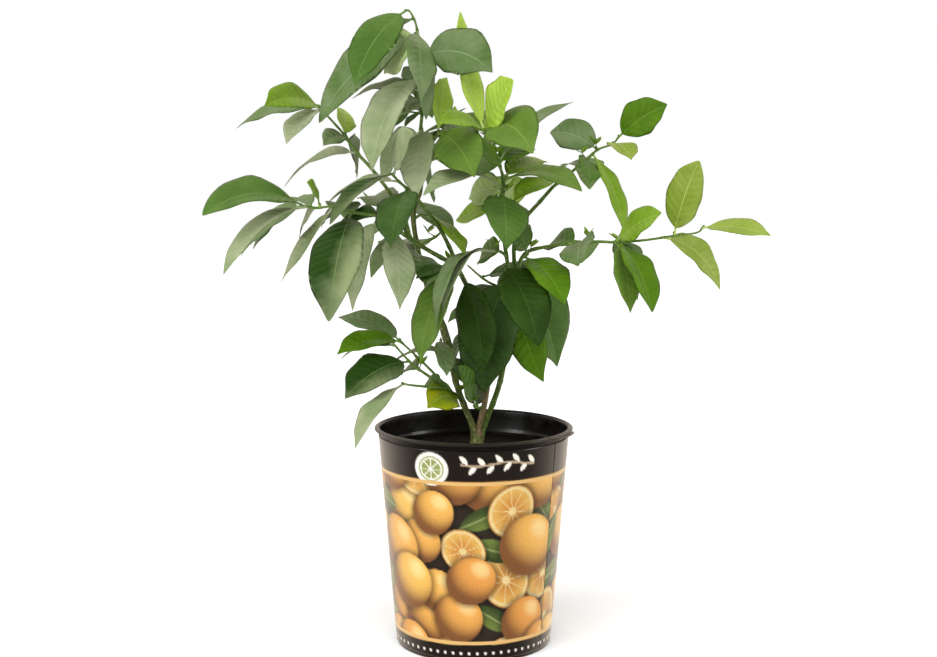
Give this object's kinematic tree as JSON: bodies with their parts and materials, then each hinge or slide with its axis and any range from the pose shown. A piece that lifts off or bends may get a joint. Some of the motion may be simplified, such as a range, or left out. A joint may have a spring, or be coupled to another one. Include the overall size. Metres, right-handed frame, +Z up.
{
  "type": "potted lemon tree",
  "caption": "Young lemon tree with slender stems and drooping pointed leaves, growing in a tapered black nursery pot with a printed wrap.",
  "frame": {"origin": "middle of the pot's flat underside", "axes": "+Z up along the pot's axis, -Y towards the viewer of the picture, +X to their right"},
  "size_m": [0.4484, 0.2743, 0.5437],
  "materials": {
    "pot": "black moulded plastic",
    "printed_wrap": "glossy printed sheet",
    "soil": "damp bark mix",
    "bark": "smooth young green-brown bark",
    "foliage": "leathery green leaves"
  },
  "bodies": {
    "root": {"back_left_bough": "bark", "back_left_foliage": "foliage", "back_low_bough": "bark", "back_low_foliage": "foliage", "back_right_bough": "bark", "back_right_foliage": "foliage", "back_top_bough": "bark", "back_top_foliage": "foliage", "base_foliage": "foliage", "centre_bough": "bark", "centre_foliage": "foliage", "east_bough": "bark", "east_foliage": "foliage", "fork_foliage": "foliage", "front_foliage": "foliage", "inner_west_bough": "bark", "inner_west_foliage": "foliage", "left_foliage": "foliage", "left_stem": "bark", "lower_left_foliage": "foliage", "lower_middle_foliage": "foliage", "middle_foliage": "foliage", "middle_stem": "bark", "northeast_bough": "bark", "northeast_foliage": "foliage", "northwest_bough": "bark", "northwest_foliage": "foliage", "pot": "pot", "printed_wrap": "printed_wrap", "right_foliage": "foliage", "right_stem": "bark", "side_foliage": "foliage", "soil": "soil", "top_foliage": "foliage", "trunk": "bark", "upper_left_foliage": "foliage", "west_bough": "bark", "west_foliage": "foliage"}
  },
  "joints": []
}
